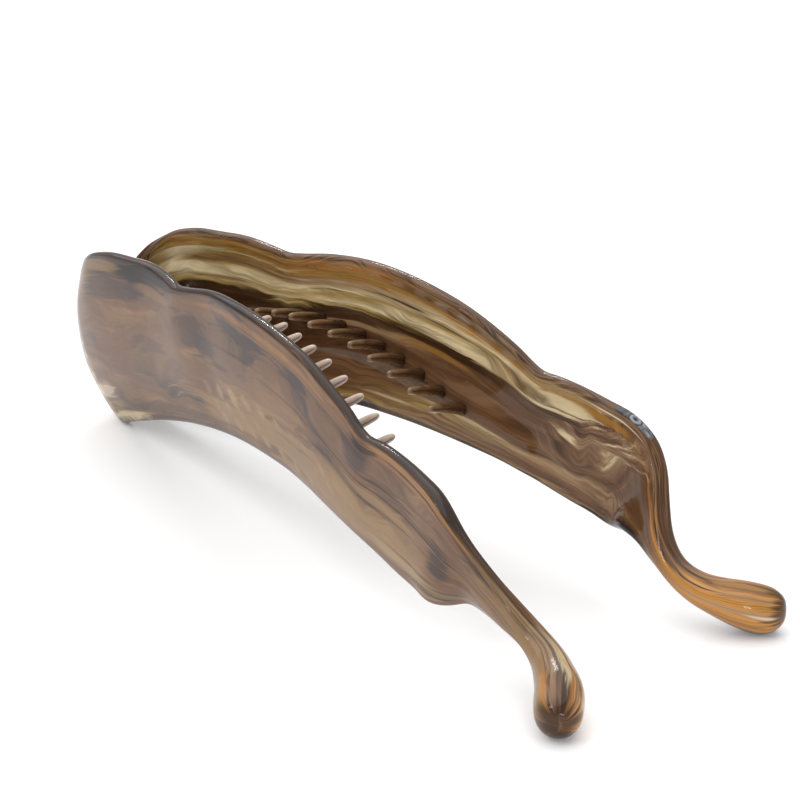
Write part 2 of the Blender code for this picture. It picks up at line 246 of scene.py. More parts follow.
armSettings = {
    "ringStep": 1.3,  # mm between sections
    "edgeRadius": 0.5,
    "wallBulge": 1.0,
    "bandHeight": 0.6,  # raised band that the teeth grow from
    "bandFrom": 12.0,
    "bandTo": 82.0,
    "upperThinning": 0.4,  # the inner wall steps back over the crease
    "corner": (100.0, 114.0),  # along in mm, where the inner wall is smoothed into the tail
    "cornerLevels": (0.05, 0.8),
    "cornerSmoothing": 8,
    "smoothing": 2,  # subdivision levels
}


def smoothRows(stops, rows, at):
    slopes = np.gradient(rows, stops, axis=0)
    index = np.clip(np.searchsorted(stops, at, side="right") - 1, 0, len(stops) - 2)
    span = (stops[index + 1] - stops[index])[:, None]
    t = (at - stops[index])[:, None] / span
    here, there = rows[index], rows[index + 1]
    return (
        (2 * t**3 - 3 * t**2 + 1) * here
        + (t**3 - 2 * t**2 + t) * span * slopes[index]
        + (3 * t**2 - 2 * t**3) * there
        + (t**3 - t**2) * span * slopes[index + 1]
    )


def wallProfile(row, settings):  # level, outer depth and inner depth, from the low edge up
    lowEdge, topEdge = row[3:6], row[0:3]
    wall, rimWidth, _, root, crease, pad, roundness = row[6:]
    radius = settings["edgeRadius"]
    edge = radius / np.linalg.norm(topEdge - lowEdge)
    half = wall / 2
    thin = half - settings["upperThinning"]
    rim = rimWidth - half + pad
    banded = settings["bandFrom"] < row[3] < settings["bandTo"]
    raised = half + (settings["bandHeight"] if banded else 0)
    flat = [
        (0, half - radius, half - radius),
        (edge, half, half),
        (0.3 * root, half, half),
        (0.55 * root, half, half),
        (0.62 * root, half, raised),
        (0.8 * root, half, raised),
        (root + 0.04, half, raised),
        (root + 0.08, half, half),
        (crease + 0.03, half, half),
        (crease + 0.06, half, thin),
        (0.91, half, thin),
        (0.94, half, rim),
        (1 - edge, half, rim),
        (1, half - radius, rim - radius),
    ]
    angles = np.radians(np.linspace(-80, 80, len(flat)))
    bar = [((1 + np.sin(a)) / 2, half * np.cos(a), half * np.cos(a)) for a in angles]
    return (1 - roundness) * np.array(flat) + roundness * np.array(bar)


def armSurfaces(settings):
    rows = np.array(armRows, float)
    middles = (rows[:, 0:3] + rows[:, 3:6]) / 2
    stops = np.concatenate([[0], np.cumsum(np.linalg.norm(np.diff(middles, axis=0), axis=1))])
    at = []
    for start, end in zip(stops[:-1], stops[1:]):
        steps = max(1, round((end - start) / settings["ringStep"]))
        at.extend(np.linspace(start, end, steps, endpoint=False))
    at = np.array(at + [stops[-1]])
    smooth = smoothRows(stops, rows, at)
    profiles = np.array([wallProfile(row, settings) for row in smooth])
    middle = []
    for row, profile in zip(smooth, profiles):
        level = profile[:, 0]
        arch = 4 * level * (1 - level)
        points = row[3:6] + np.outer(level, row[0:3] - row[3:6])
        points[:, 0] -= row[8] * arch + middleX
        points[:, 1] += settings["wallBulge"] * (1 - row[12]) * arch
        middle.append(points)
    middle = np.array(middle)
    normal = np.cross(np.gradient(middle, axis=1), np.gradient(middle, axis=0))
    normal /= np.linalg.norm(normal, axis=2, keepdims=True)
    outer = middle + normal * profiles[:, :, 1:2]
    inner = middle - normal * profiles[:, :, 2:3]
    return at, profiles[:, :, 0], middle, outer, inner


def bentGrid(mesh, around, along, place):  # a flat grid bent to place(i, j), and its vertices by place
    made = bmesh.ops.create_grid(mesh, x_segments=around, y_segments=along, size=1)["verts"]
    byPlace = {}
    for vertex in made:
        i = round((vertex.co.x + 1) / 2 * around)
        j = round((vertex.co.y + 1) / 2 * along)
        byPlace[i, j] = vertex
    for (i, j), vertex in byPlace.items():
        vertex.co = place(i, j)
    return byPlace


def finishPiece(mesh, name, material, body, smoothing=0):
    bmesh.ops.remove_doubles(mesh, verts=mesh.verts, dist=1e-7)
    bmesh.ops.recalc_face_normals(mesh, faces=mesh.faces)
    for face in mesh.faces:
        face.smooth = True
    data = bpy.data.meshes.new(name)
    mesh.to_mesh(data)
    mesh.free()
    data.materials.append(material)
    piece = bpy.data.objects.new(name, data)
    bpy.context.scene.collection.objects.link(piece)
    if smoothing:
        subdivision = piece.modifiers.new("smooth", "SUBSURF")
        subdivision.levels = smoothing
        subdivision.render_levels = smoothing
    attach(piece, body)
    return piece


def makeArm(name, node, body, side, material, settings):
    at, levels, _, outer, inner = armSurfaces(settings)
    count = levels.shape[1]
    mesh = bmesh.new()
    alongLayer = mesh.verts.layers.float.new("along")
    levelLayer = mesh.verts.layers.float.new("level")
    innerLayer = mesh.verts.layers.float.new("inner")
    size = 2 * count

    def place(i, j):
        i = i % size
        point = outer[j, i] if i < count else inner[j, size - 1 - i]
        return Vector((point[0], side * point[1], max(point[2], 0))) * mm

    verts = bentGrid(mesh, size, len(at) - 1, place)
    for (i, j), vertex in verts.items():
        i = i % size
        vertex[alongLayer] = at[j]
        vertex[levelLayer] = levels[j, i if i < count else size - 1 - i]
        vertex[innerLayer] = 0.0 if i < count else 1.0
    bmesh.ops.remove_doubles(mesh, verts=mesh.verts, dist=1e-7)
    (start, end), (low, high) = settings["corner"], settings["cornerLevels"]
    near = [vertex for vertex in mesh.verts if start < vertex[alongLayer] < end and vertex[innerLayer] == 1]
    corner = [vertex for vertex in near if low < vertex[levelLayer] < high]
    axes = {"use_axis_x": True, "use_axis_y": True, "use_axis_z": True}
    for _ in range(settings["cornerSmoothing"]):
        bmesh.ops.smooth_vert(mesh, verts=corner, factor=0.5, **axes)
    bmesh.ops.holes_fill(mesh, edges=[e for e in mesh.edges if e.is_boundary], sides=0)
    arm = finishPiece(mesh, name, material, body, settings["smoothing"])
    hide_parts(node)
    return arm


# the arms' plastic, marbled like horn
hornColours = {
    "black": paint(38, 32, 32),
    "umber": paint(58, 37, 21),
    "darkBrown": paint(86, 58, 38),
    "brown": paint(112, 81, 55),
    "slate": paint(72, 61, 58),
    "taupe": paint(108, 82, 65),
    "tan": paint(151, 123, 90),
    "warmBrown": paint(130, 100, 74),
    "orange": paint(184, 128, 70),
    "gold": paint(164, 118, 56),
    "olive": paint(160, 132, 76),
    "cream": paint(212, 193, 152),
    "milk": paint(226, 212, 190),
}
hornSettings = {
    "wallHeight": 24.0,  # mm from the low edge to the rim, as the pattern counts it
    "streak": (0.03, 0.36),  # pattern per mm along the arm and across it, as in the next three
    "hair": (0.066, 1.98),
    "cloud": (0.045, 0.14),
    "sway": (0.035, 0.07),
    "swayHeight": 12.0,  # mm that the streaks wander up and down
    "rimShift": 3.0,  # mm by which the pattern runs on over the rim
    "facesApart": 1.4,  # how far the inner face's pattern is from the outer one's
    "curl": (101.0, 0.80),  # along in mm, level, where the flow turns round under the gate
    "curlRadius": (16.0, 9.0),  # mm from there, where the flow starts and ends to turn
    "curlRings": 0.7,  # pattern per mm from there
    "curlTurn": 0.8,  # pattern round it
    "roughness": (0.07, 0.13),  # between the hairs and on them
    "shine": 0.3,
}
# layers of the inner face: along in mm, then level and colour from the low edge up; the umber at the crease
# is painted shade of the crease, and the cream and olive above it are the plastic's streaks with painted
# light through the thinner upper wall
innerLayers = [
    (20, [
        (0.02, "umber"), (0.08, "brown"), (0.35, "darkBrown"), (0.55, "umber"), (0.67, "umber"),
        (0.71, "olive"), (0.77, "cream"), (0.80, "olive"), (0.83, "brown"), (0.87, "olive"), (0.90, "cream"),
        (0.925, "olive"), (0.95, "gold"), (0.985, "darkBrown"),
    ]),
    (50, [
        (0.01, "black"), (0.03, "taupe"), (0.09, "olive"), (0.14, "brown"), (0.32, "brown"),
        (0.38, "darkBrown"), (0.53, "darkBrown"), (0.565, "tan"), (0.59, "darkBrown"), (0.64, "umber"),
        (0.67, "olive"), (0.70, "cream"), (0.74, "olive"), (0.78, "cream"), (0.82, "tan"), (0.86, "gold"),
        (0.90, "olive"), (0.93, "orange"), (0.975, "tan"), (0.99, "darkBrown"),
    ]),
    (74, [
        (0.01, "black"), (0.04, "tan"), (0.09, "brown"), (0.15, "tan"), (0.20, "olive"), (0.24, "brown"),
        (0.32, "darkBrown"), (0.40, "brown"), (0.48, "darkBrown"), (0.55, "brown"), (0.62, "umber"),
        (0.68, "umber"), (0.71, "cream"), (0.75, "olive"), (0.79, "tan"), (0.83, "cream"), (0.88, "gold"),
        (0.93, "brown"), (0.96, "tan"), (0.985, "darkBrown"),
    ]),
    (96, [
        (0.01, "black"), (0.04, "tan"), (0.08, "darkBrown"), (0.14, "brown"), (0.20, "tan"),
        (0.25, "darkBrown"), (0.31, "brown"), (0.38, "darkBrown"), (0.48, "brown"), (0.56, "darkBrown"),
        (0.66, "brown"), (0.72, "darkBrown"), (0.76, "cream"), (0.79, "brown"), (0.83, "cream"),
        (0.87, "gold"), (0.92, "olive"), (0.96, "tan"), (0.985, "darkBrown"),
    ]),
    (116, [
        (0.02, "umber"), (0.10, "darkBrown"), (0.20, "brown"), (0.30, "darkBrown"), (0.40, "brown"),
        (0.50, "umber"), (0.58, "brown"), (0.66, "darkBrown"), (0.74, "orange"), (0.79, "brown"),
        (0.85, "umber"), (0.90, "orange"), (0.94, "brown"), (0.97, "umber"), (0.99, "darkBrown"),
    ]),
    (132, [
        (0.05, "umber"), (0.14, "brown"), (0.26, "orange"), (0.38, "gold"), (0.48, "orange"),
        (0.58, "tan"), (0.66, "orange"), (0.74, "gold"), (0.80, "orange"), (0.86, "tan"), (0.91, "orange"),
        (0.97, "brown"), (0.985, "umber"),
    ]),
]
rimColours = {"front": ("black", "black", "darkBrown"), "rear": ("umber", "brown", "warmBrown")}
# spots: face (0 outer, 1 inner), along, level, half length, half height, colour, share
frontSpots = [
    # far end, and thin lines further on
    (0, 18, 0.965, 20, 0.035, "slate", 0.9),
    (0, 28, 0.925, 7, 0.05, "black", 0.9),
    (0, 20, 0.90, 9, 0.03, "black", 0.6),
    (0, 31, 0.84, 5, 0.035, "warmBrown", 0.6),
    (0, 17, 0.80, 7, 0.06, "slate", 0.75),
    (0, 60, 0.66, 8, 0.012, "umber", 0.35),
    (0, 70, 0.60, 8, 0.012, "umber", 0.35),
    (0, 58, 0.80, 8, 0.03, "slate", 0.5),
    (0, 14, 0.93, 4, 0.025, "tan", 0.5),
    (0, 2, 0.30, 2.5, 0.30, "cream", 0.5),
    (0, 6, 0.19, 4, 0.05, "milk", 0.45),
    (0, 7, 0.10, 5, 0.03, "olive", 0.5),
    (0, 11, 0.035, 8, 0.025, "cream", 0.7),
    (0, 28, 0.09, 19, 0.05, "slate", 0.6),
    (0, 30, 0.45, 12, 0.14, "warmBrown", 0.4),
    # middle
    (0, 42, 0.72, 2.4, 0.14, "slate", 0.65),
    (0, 46, 0.60, 2.5, 0.08, "slate", 0.8),
    (0, 50, 0.52, 5, 0.025, "umber", 0.5),
    (0, 44, 0.55, 4, 0.02, "umber", 0.4),
    (0, 62, 0.45, 10, 0.12, "warmBrown", 0.5),
    (0, 76, 0.24, 34, 0.16, "tan", 0.75),
    (0, 66, 0.91, 26, 0.010, "orange", 0.3),
    (0, 72, 0.875, 18, 0.02, "warmBrown", 0.6),
    # pad
    (0, 89, 0.82, 3, 0.13, "slate", 0.8),
    (0, 91, 0.91, 3, 0.07, "black", 0.75),
    (0, 97, 0.70, 5, 0.05, "slate", 0.55),
    (0, 103, 0.62, 7, 0.03, "slate", 0.45),
    (0, 103, 0.33, 6, 0.16, "tan", 0.5),
    (0, 96, 0.50, 8, 0.05, "tan", 0.6),
    (0, 93, 0.70, 8, 0.012, "umber", 0.7),
    (0, 99, 0.60, 9, 0.010, "umber", 0.6),
    (0, 101, 0.43, 8, 0.010, "umber", 0.55),
    (0, 86, 0.60, 8, 0.010, "umber", 0.6),
    (0, 104, 0.24, 6, 0.014, "darkBrown", 0.6),
    (0, 94, 0.34, 9, 0.04, "tan", 0.5),
    (0, 102, 0.20, 8, 0.035, "cream", 0.15),
    (0, 107, 0.08, 4, 0.025, "cream", 0.22),
    (0, 97, 0.955, 6, 0.006, "gold", 0.7),
    (0, 104, 0.915, 6, 0.006, "umber", 0.8),
    (0, 103, 0.890, 7, 0.006, "gold", 0.5),
    (0, 109.5, 0.48, 2.2, 0.2, "slate", 0.9),
    (0, 110, 0.15, 4, 0.04, "tan", 0.4),
    (0, 99, 0.93, 10, 0.007, "orange", 0.4),
    (0, 109, 0.955, 6, 0.008, "orange", 0.5),
    # neck and knob
    (0, 118, 0.90, 8, 0.03, "umber", 0.6),
    (0, 131, 0.70, 14, 0.35, "tan", 0.8),
    (0, 139, 0.86, 3.5, 0.06, "orange", 0.7),
    (0, 142, 0.84, 2, 0.05, "gold", 0.6),
    (0, 139, 0.93, 2.5, 0.022, "slate", 0.6),
    (0, 128, 0.895, 10, 0.010, "umber", 0.6),
    (0, 131, 0.945, 7, 0.012, "umber", 0.5),
    (0, 127, 0.975, 7, 0.012, "tan", 0.5),
    (0, 130, 0.988, 12, 0.007, "umber", 0.8),
    # painted dark outline and reflection on the knob's rounded end
    (0, 145, 0.50, 3.2, 2, "umber", 0.9),
    (1, 134, 0.965, 6.5, 0.025, "cream", 0.75),
    (1, 128, 0.82, 18, 0.13, "brown", 0.8),
    # painted dark outline and reflection on the knob's rounded end
    (1, 145, 0.50, 3.2, 2, "umber", 0.9),
]
rearSpots = [
    # far end
    # painted shade above the front arm's rim
    (1, 18, 0.66, 7, 0.04, "umber", 0.9),
    # painted shade along the crease
    (1, 31, 0.655, 6, 0.03, "umber", 0.95),
    (1, 24, 0.72, 6, 0.02, "warmBrown", 0.7),
    (1, 13, 0.86, 5, 0.05, "cream", 0.5),
    (1, 8, 0.80, 3, 0.10, "olive", 0.6),
    # painted light shining through the thin end of the wall
    (1, 3, 0.85, 2, 0.10, "milk", 0.7),
    # middle
    (1, 50, 0.562, 14, 0.020, "tan", 0.8),
    (1, 60, 0.80, 8, 0.012, "umber", 0.8),
    (1, 70, 0.76, 8, 0.010, "umber", 0.8),
    (1, 46, 0.74, 8, 0.010, "umber", 0.6),
    (1, 70, 0.56, 7, 0.03, "gold", 0.6),
    (1, 78, 0.40, 5, 0.03, "warmBrown", 0.6),
    (1, 62, 0.12, 9, 0.018, "cream", 0.7),
    (1, 76, 0.20, 10, 0.018, "cream", 0.6),
    # pad
    (1, 92, 0.76, 5, 0.022, "cream", 0.9),
    (1, 98, 0.83, 6, 0.018, "cream", 0.8),
    (1, 95, 0.70, 5, 0.02, "umber", 0.8),
    (1, 103, 0.86, 4, 0.016, "gold", 0.8),
    (1, 106, 0.935, 5, 0.016, "milk", 0.95),
    # painted shade in the small step of the low corner
    (1, 115, 0.05, 4, 0.06, "black", 0.95),
    (1, 112, 0.90, 4, 0.05, "warmBrown", 0.8),
    # neck and knob
    (1, 124, 0.88, 4, 0.05, "umber", 0.8),
    (1, 130, 0.86, 3, 0.012, "umber", 0.9),
    (1, 140, 0.55, 3, 0.03, "milk", 0.6),
    (1, 141, 0.47, 2.5, 0.03, "umber", 0.8),
    (1, 116, 0.45, 6, 0.30, "darkBrown", 0.6),
    (1, 136, 0.28, 8, 0.06, "brown", 0.5),
    # painted dark outline and reflection on the knob's rounded end, on both faces
    (1, 144, 0.50, 2.4, 2, "umber", 0.85),
    (0, 144, 0.50, 2.4, 2, "umber", 0.85),
    (0, 134, 0.60, 12, 0.4, "tan", 0.6),
    (0, 135, 0.94, 8, 0.06, "orange", 0.75),
    (1, 135, 0.98, 8, 0.03, "gold", 0.8),
    (0, 140, 0.90, 4, 0.012, "umber", 0.8),
    (0, 123, 0.95, 6, 0.04, "umber", 0.7),
]
rootsAndToothShadowRows = {  # lighter places where the tooth roots and painted light between the teeth show through the front arm, with painted tooth shadows between them
    "rows": [(0.35, 0.0), (0.25, 0.5), (0.15, 0.0)],  # level, shift as a share of the pitch
    "pitch": 4.4,
    "halfHeight": 0.055,
    "lean": 3.0,
    "from": 45.0,
    "to": 86.0,
    "light": 0.21,  # shares of the paler places, roots and painted light, and of the darker ones between them, painted tooth shadows
    "dark": 0.3,
}


def hornFlow(tree, settings, seed):  # places of the pattern, and the streaks that run along the arm
    along, level, inside = (attribute(tree, word) for word in ("along", "level", "inner"))
    side = rise(tree, inside, 0.45, 0.75)
    height = times(tree, level, settings["wallHeight"])
    onWall = times(tree, rise(tree, level, 0.95, 0.85), rise(tree, along, 118.0, 98.0))  # not rim or tail
    mark = plus(tree, times(tree, side, onWall, settings["facesApart"]), seed)

    def placeFor(word, up, third):
        length, width = settings[word]
        return joinVector(tree, times(tree, along, length), times(tree, up, width), third)

    sway = spread(tree, noise(tree, placeFor("sway", height, mark), 3, 0.5), settings["swayHeight"])
    across = plus(tree, plus(tree, height, sway), times(tree, inside, settings["rimShift"]))
    streaks = noise(tree, placeFor("streak", across, mark), 5, 0.6, 0.3)
    hairs = noise(tree, placeFor("hair", across, mark), 4, 0.65, 0.12)
    clouds = noise(tree, placeFor("cloud", across, plus(tree, mark, 11.0)), 5, 0.6, 0.3)
    return {
        "along": along,
        "level": level,
        "height": height,
        "side": side,
        "sway": sway,
        "streak": rise(tree, streaks, 0.30, 0.70),
        "hair": rise(tree, hairs, 0.30, 0.70),
        "cloud": rise(tree, clouds, 0.32, 0.68),
    }


def hornRamp(tree, value, stops):
    return ramp(tree, value, [(position, hornColours[word]) for position, word in stops])


def outerColour(tree, flow):
    base = hornRamp(tree, flow["cloud"], [
        (0.05, "slate"), (0.25, "taupe"), (0.60, "taupe"), (0.95, "warmBrown"),
    ])
    grain = rise(tree, flow["along"], 70.0, 98.0, 0.15, 0.5)  # woodier towards the tails
    grain = times(tree, grain, rise(tree, flow["along"], 142.0, 132.0, 0.3, 1.0))  # and quiet at the knobs
    fine = plus(tree, 1.0, spread(tree, flow["hair"], grain))
    broad = plus(tree, 1.0, spread(tree, flow["streak"], 0.3))
    return shaded(tree, base, times(tree, fine, broad))


def innerColour(tree, flow):
    wander = plus(tree, spread(tree, flow["streak"], 0.07), times(tree, flow["sway"], 0.004))
    wander = plus(tree, wander, spread(tree, flow["hair"], 0.012))
    wander = times(tree, wander, rise(tree, flow["along"], 124.0, 112.0, 0.4, 1.0))
    place = plus(tree, flow["level"], wander)
    colour = None
    before = 0
    for at, layers in innerLayers:
        here = hornRamp(tree, place, layers)
        colour = here if colour is None else mixed(tree, rise(tree, flow["along"], before, at), colour, here)
        before = at
    fine = plus(tree, 0.66, times(tree, flow["hair"], 0.64))
    tail = rise(tree, flow["along"], 120.0, 130.0, 1.0, 1.12)  # a little lighter
    return shaded(tree, colour, times(tree, fine, tail))


def curlColour(tree, flow, settings):  # rings of streaks under the gate, and how much they show
    curlAlong, curlLevel = settings["curl"]
    x = minus(tree, flow["along"], curlAlong)
    y = minus(tree, flow["height"], curlLevel * settings["wallHeight"])
    lowerRight = rise(tree, minus(tree, x, y), -4.0, 3.0)
    distance = calc(tree, "SQRT", plus(tree, times(tree, x, x), times(tree, y, y)))
    away = plus(tree, distance, 0.01)  # never 0
    x, y = (times(tree, calc(tree, "DIVIDE", value, away), settings["curlTurn"]) for value in (x, y))
    out = plus(tree, distance, times(tree, flow["sway"], 0.7))
    place = joinVector(tree, times(tree, out, settings["curlRings"]), x, y)
    colour = hornRamp(tree, noise(tree, place, 5, 0.62, 0.2), [
        (0.34, "umber"), (0.43, "darkBrown"), (0.49, "brown"), (0.55, "warmBrown"), (0.61, "tan"),
        (0.68, "cream"),
    ])
    start, end = settings["curlRadius"]
    below = rise(tree, flow["level"], 0.95, 0.88)
    share = times(tree, rise(tree, distance, start, end), flow["side"], below, lowerRight)
    return colour, share


def rootsAndToothShadows(tree, flow, colour, settings):
    stretch = times(
        tree,
        rise(tree, flow["along"], settings["from"] - 4, settings["from"] + 6),
        rise(tree, flow["along"], settings["to"] + 4, settings["to"] - 6),
        minus(tree, 1.0, flow["side"]),
    )
    place = plus(tree, flow["level"], times(tree, flow["sway"], 0.003))
    ragged = times(tree, minus(tree, flow["cloud"], 0.6), 1.6)
    for level, shift in settings["rows"]:
        lean = times(tree, minus(tree, place, level), settings["lean"])
        turns = plus(tree, times(tree, flow["along"], 1 / settings["pitch"]), plus(tree, lean, shift))
        wave = plus(tree, calc(tree, "SINE", times(tree, turns, 2 * math.pi)), ragged)
        offset = times(tree, minus(tree, place, level), 1 / settings["halfHeight"])
        off = times(tree, offset, offset)
        # light: tooth roots and painted light between the teeth; dark: painted tooth shadows
        light = times(tree, rise(tree, minus(tree, wave, off), -0.1, 1.0), stretch, settings["light"])
        dark = times(tree, rise(tree, plus(tree, wave, off), -0.1, -0.8), stretch, settings["dark"])
        colour = mixed(tree, light, colour, hornColours["cream"])
        colour = mixed(tree, dark, colour, hornColours["darkBrown"])
    return colour


def addSpots(tree, flow, colour, spots):
    place = joinVector(tree, flow["along"], plus(tree, flow["level"], times(tree, flow["sway"], 0.004)))
    ragged = plus(tree, spread(tree, flow["streak"], 0.9), spread(tree, flow["hair"], 0.45))
    faces = (minus(tree, 1.0, flow["side"]), flow["side"])
    for face, along, level, halfLength, halfHeight, word, share in spots:
        offset = vectorCalc(tree, "SUBTRACT", place, (along, level, 0))
        scaled = vectorCalc(tree, "DIVIDE", offset, (halfLength, halfHeight, 1))
        reach = plus(tree, vectorCalc(tree, "LENGTH", scaled), ragged)
        mask = times(tree, rise(tree, reach, 1.35, 0.6, 0.0, share), faces[face])
        colour = mixed(tree, mask, colour, hornColours[word])
    return colour


def hornMaterial(name, seed, spots, blobs, rimWords, settings):
    material, tree = startMaterial(name)
    shader = tree.nodes["Principled BSDF"]
    flow = hornFlow(tree, settings, seed)
    colour = mixed(tree, flow["side"], outerColour(tree, flow), innerColour(tree, flow))
    curled, curlShare = curlColour(tree, flow, settings)
    colour = mixed(tree, curlShare, colour, curled)
    if blobs:
        colour = rootsAndToothShadows(tree, flow, colour, blobs)

    # rim with fine lines of other colours, and a dark low edge, painted shade for the dark outline the clear
    # plastic shows at its edge
    wall = rise(tree, flow["along"], 124.0, 116.0)
    rim = hornRamp(tree, flow["hair"], zip((0.3, 0.65, 1.0), rimWords))
    colour = mixed(tree, times(tree, rise(tree, flow["level"], 0.955, 0.985), wall, 0.9), colour, rim)
    lowEdge = rise(tree, flow["level"], 0.035, 0.012)
    colour = mixed(tree, times(tree, lowEdge, wall, 0.7), colour, hornColours["black"])
    colour = addSpots(tree, flow, colour, spots)
    tree.links.new(colour, shader.inputs["Base Color"])

    tree.links.new(rise(tree, flow["hair"], 0.2, 0.9, *settings["roughness"]), shader.inputs["Roughness"])
    shader.inputs["IOR"].default_value = plasticIor
    shader.inputs["Specular IOR Level"].default_value = settings["shine"]
    tree.links.new(bump(tree, flow["cloud"], 0.05, 0.0006), shader.inputs["Normal"])
    return material


frontHorn = hornMaterial("marbledFront", 2.0, frontSpots, rootsAndToothShadowRows, rimColours["front"], hornSettings)
rearHorn = hornMaterial("marbledRear", 5.0, rearSpots, None, rimColours["rear"], hornSettings)
makeArm("frontArmShell", "arm_front", "front", -1, frontHorn, armSettings)
makeArm("rearArmShell", "arm_rear", "rear", 1, rearHorn, armSettings)
print("arms made")


# mark left by the mould's gate, on the pad of the rear rim
gateSettings = {
    "along": 107.6,  # mm, as in all that follows
    "ringRadius": 0.5,
    "ringWidth": 0.15,
    "ringHeight": 0.12,
    "padLength": 6.0,
    "padWidth": 1.4,
    "padHeight": 0.05,
    "sunk": 0.3,
}


def gateMaterial():
    material, tree = startMaterial("gatePad")
    shader = tree.nodes["Principled BSDF"]
    grain = noise(tree, stretchedPlace(tree, (1400, 1400, 1400)), 5, 0.7, 0.8)
    coarse = noise(tree, stretchedPlace(tree, (420, 420, 420)), 3, 0.5)
    both = plus(tree, times(tree, grain, 0.5), times(tree, coarse, 0.5))
    rough = ramp(tree, both, [
        (0.40, paint(48, 46, 50)), (0.50, paint(92, 92, 100)), (0.58, paint(132, 134, 142)),
        (0.64, paint(200, 200, 204)),
    ])
    ring = ramp(tree, times(tree, attribute(tree, "fromGate"), 0.5), [
        (0.10, paint(24, 22, 26)), (0.17, paint(120, 122, 130)), (0.32, paint(160, 162, 168)),
        (0.42, paint(44, 42, 46)),
    ])
    near = rise(tree, attribute(tree, "fromGate"), 1.1, 0.9)
    tree.links.new(mixed(tree, near, rough, ring), shader.inputs["Base Color"])
    tree.links.new(rise(tree, grain, 0.3, 0.7, 0.22, 0.5), shader.inputs["Roughness"])
    tree.links.new(bump(tree, grain, 0.5, 0.0003), shader.inputs["Normal"])
    return material


def makeGate(name, body, side, material, settings):
    at, _, _, outer, inner = armSurfaces(armSettings)
    middle = (outer[:, -1] + inner[:, -1]) / 2
    over = outer[:, -1] - inner[:, -1]
    over /= np.linalg.norm(over, axis=1, keepdims=True)
    up = np.cross(np.gradient(middle, axis=0), over)
    up /= np.linalg.norm(up, axis=1, keepdims=True)
    up *= np.sign(up[:, 2:3])

    def onRim(co):  # follows the rim's curve along x
        there = settings["along"] + co.x
        here = [[np.interp(there, at, table[:, k]) for k in range(3)] for table in (middle, over, up)]
        point = Vector(here[0]) + Vector(here[1]) * co.y + Vector(here[2]) * co.z
        return Vector((point.x, side * point.y, point.z)) * mm

    mesh = bmesh.new()
    distanceLayer = mesh.verts.layers.float.new("fromGate")
    bmesh.ops.create_grid(mesh, x_segments=40, y_segments=10, size=1)
    for vertex in mesh.verts:
        x, y = vertex.co.x, vertex.co.y
        width = settings["padWidth"] / 2 * math.sqrt(max(1 - x**6, 0.02))
        vertex.co = (x * settings["padLength"] / 2, y * width, settings["padHeight"] * (1 - y**4))
    rim = bmesh.ops.extrude_edge_only(mesh, edges=[e for e in mesh.edges if e.is_boundary])["geom"]
    lowered = [item for item in rim if isinstance(item, bmesh.types.BMVert)]
    bmesh.ops.translate(mesh, verts=lowered, vec=(0, 0, -settings["sunk"]))
    bmesh.ops.holes_fill(mesh, edges=[e for e in mesh.edges if e.is_boundary], sides=0)

    radius, width = settings["ringRadius"], settings["ringWidth"]
    top = settings["padHeight"] + settings["ringHeight"]
    corners = [
        (radius - width, -settings["sunk"]), (radius + width, -settings["sunk"]),
        (radius + width, top * 0.6), (radius, top), (radius - width, top * 0.6),
    ]
    ring = [mesh.verts.new((x, 0, z)) for x, z in corners]
    edges = [mesh.edges.new((ring[k - 1], ring[k])) for k in range(len(ring))]
    turn = {"angle": 2 * math.pi, "steps": 32, "use_merge": True}
    bmesh.ops.spin(mesh, geom=ring + edges, cent=(0, 0, 0), axis=(0, 0, 1), **turn)
    for vertex in mesh.verts:
        vertex[distanceLayer] = math.hypot(vertex.co.x, vertex.co.y)
        vertex.co = onRim(vertex.co)
    piece = finishPiece(mesh, name, material, body)
    piece.data.set_sharp_from_angle(angle=math.radians(40))
    return piece


makeGate("rearGateMark", "rear", 1, gateMaterial(), gateSettings)
print("gate mark made")


# comb teeth, each with a groove on both sides
toothSettings = {
    "count": 13,
    "pitch": 4.2,  # mm, as in the next four
    "lastTip": 73.6,
    "lean": 3.6,
    "rise": 4.6,
    "reach": 11.4,
    "knee": (0.45, 0.58),  # where it bends, as shares of its reach and rise
    "shorterBefore": 45.0,  # mm, from where the teeth get shorter towards the hinge
    "shortening": 2.1,
    "shorteningLength": 22.0,
    "grooveDepth": 0.34,  # share of the radius
    "grooveWidth": 0.34,  # as a sine of the angle round the tooth
    "grooveShade": 0.3,  # the same for the painted shade in the groove
    "sides": 20,
}
toothRings = [  # share of the length, radius in mm
    (0.0, 1.2), (0.1, 1.12), (0.2, 1.04), (0.3, 0.97), (0.42, 0.9), (0.54, 0.85), (0.66, 0.81), (0.78, 0.77),
    (0.88, 0.72), (0.955, 0.62), (0.99, 0.4), (1.0, 0.02),
]
tipLine = [  # X and height of the tips, in mm
    (20.0, 26.4), (30.0, 28.6), (35.8, 29.9), (40.0, 30.8), (48.0, 30.5), (56.4, 29.0), (64.6, 26.2),
    (73.0, 22.6), (79.0, 19.6),
]


def toothMaterial(name, dark, middle, light):
    material, tree = startMaterial(name)
    shader = tree.nodes["Principled BSDF"]
    streak = noise(tree, stretchedPlace(tree, (900, 160, 900)), 4, 0.6, 0.4)
    reach = attribute(tree, "reach")
    tone = plus(tree, times(tree, streak, 0.6), times(tree, reach, 0.45))
    colour = ramp(tree, tone, [(0.3, dark), (0.55, middle), (0.8, light)])
    # painted shade darkens the grooves
    groove = times(tree, attribute(tree, "groove"), plus(tree, 0.35, streak))
    colour = mixed(tree, groove, colour, dark)
    tree.links.new(colour, shader.inputs["Base Color"])
    tree.links.new(rise(tree, streak, 0.3, 0.7, 0.1, 0.18), shader.inputs["Roughness"])
    tree.links.new(bump(tree, streak, 0.12, 0.0004), shader.inputs["Normal"])
    shader.inputs["IOR"].default_value = plasticIor
    return material


